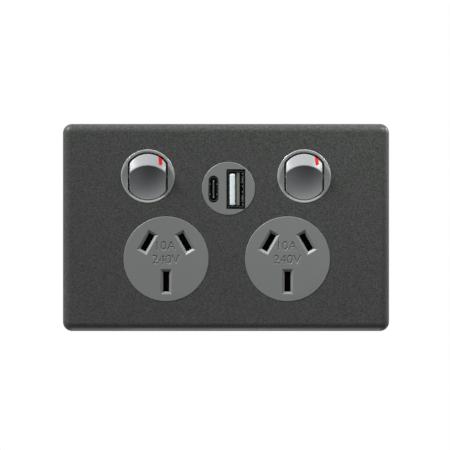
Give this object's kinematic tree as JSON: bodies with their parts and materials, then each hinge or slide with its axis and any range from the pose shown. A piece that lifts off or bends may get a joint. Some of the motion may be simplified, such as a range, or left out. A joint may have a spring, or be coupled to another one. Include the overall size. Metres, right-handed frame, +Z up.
{
  "type": "double wall socket with USB charger",
  "caption": "Double switched wall socket with a charcoal cover plate, grey round socket faces, rocker switches and a USB charging module.",
  "frame": {"origin": "midway between the two fixing holes, in the plane of the wall", "axes": "+X to the right along the plate, +Z up, and the front of the plate faces -Y"},
  "size_m": [0.12, 0.0425, 0.0762],
  "materials": {
    "cover_charcoal": "satin charcoal with a fine metallic speckle",
    "face_grey": "fine matt mid-grey moulding",
    "collar_grey": "satin-gloss grey moulding",
    "rocker_grey": "satin-gloss grey moulding",
    "stripe_red": "glossy red inlay",
    "housing_grey": "matt pale grey moulding",
    "plunger_white": "natural white nylon",
    "spring_steel": "drawn spring wire",
    "brass": "rolled brass strip",
    "zinc_steel": "zinc-plated steel",
    "port_steel": "nickel-plated deep-drawn steel",
    "tongue_white": "white moulded port tongue",
    "tongue_black": "black moulded port tongue",
    "gold_plate": "gold-plated spring strip",
    "board_green": "glass-fibre circuit board",
    "ferrite": "sintered ferrite",
    "winding_tape": "yellow winding tape",
    "can_black": "sleeved capacitor can"
  },
  "bodies": {
    "socket_frame": {"cover_plate": "cover_charcoal", "mounting_frame": "face_grey", "rear_housing": "housing_grey", "active_bar": "brass", "neutral_bar": "brass", "earth_bar": "brass", "active_terminal": "brass", "neutral_terminal": "brass", "earth_terminal": "brass", "terminal_screws": "zinc_steel", "housing_screws": "zinc_steel", "usb_housing": "face_grey", "usb_back_cover": "housing_grey", "usb_a_shell": "port_steel", "usb_a_tongue": "tongue_white", "usb_a_contacts": "gold_plate", "usb_c_shell": "port_steel", "usb_c_tongue": "tongue_black", "usb_circuit_board": "board_green", "transformer_core": "ferrite", "transformer_winding": "winding_tape", "smoothing_capacitors": "can_black", "charger_chip": "tongue_black", "usb_neutral_lead": "brass", "usb_active_lead": "brass", "socket_face_left": "face_grey", "switch_body_left": "collar_grey", "lever_cradle_left": "brass", "socket_active_contact_left": "brass", "socket_face_right": "face_grey", "switch_body_right": "collar_grey", "lever_cradle_right": "brass", "socket_active_contact_right": "brass"},
    "left_rocker": {"rocker_left": "rocker_grey", "rocker_stripe_left": "stripe_red", "plunger_left": "plunger_white", "plunger_spring_left": "spring_steel"},
    "left_lever": {"contact_lever_left": "brass"},
    "right_rocker": {"rocker_right": "rocker_grey", "rocker_stripe_right": "stripe_red", "plunger_right": "plunger_white", "plunger_spring_right": "spring_steel"},
    "right_lever": {"contact_lever_right": "brass"}
  },
  "joints": [
    {"name": "left_rocker_tilt", "type": "hinge", "parent": "socket_frame", "child": "left_rocker", "pos_m": [-0.0287, -0.00642, 0.0188], "axis": [-1, 0, 0], "range_deg": [0, 16]},
    {"name": "left_lever_tilt", "type": "hinge", "parent": "socket_frame", "child": "left_lever", "pos_m": [-0.0287, 0.0032, 0.0188], "axis": [1, 0, 0], "range_deg": [0, 10]},
    {"name": "right_rocker_tilt", "type": "hinge", "parent": "socket_frame", "child": "right_rocker", "pos_m": [0.0287, -0.00642, 0.0188], "axis": [-1, 0, 0], "range_deg": [0, 16]},
    {"name": "right_lever_tilt", "type": "hinge", "parent": "socket_frame", "child": "right_lever", "pos_m": [0.0287, 0.0032, 0.0188], "axis": [1, 0, 0], "range_deg": [0, 10]}
  ],
  "couplings": [
    {"joint": "left_lever_tilt", "follows": "left_rocker_tilt", "ratio": 0.625},
    {"joint": "right_lever_tilt", "follows": "right_rocker_tilt", "ratio": 0.625}
  ]
}
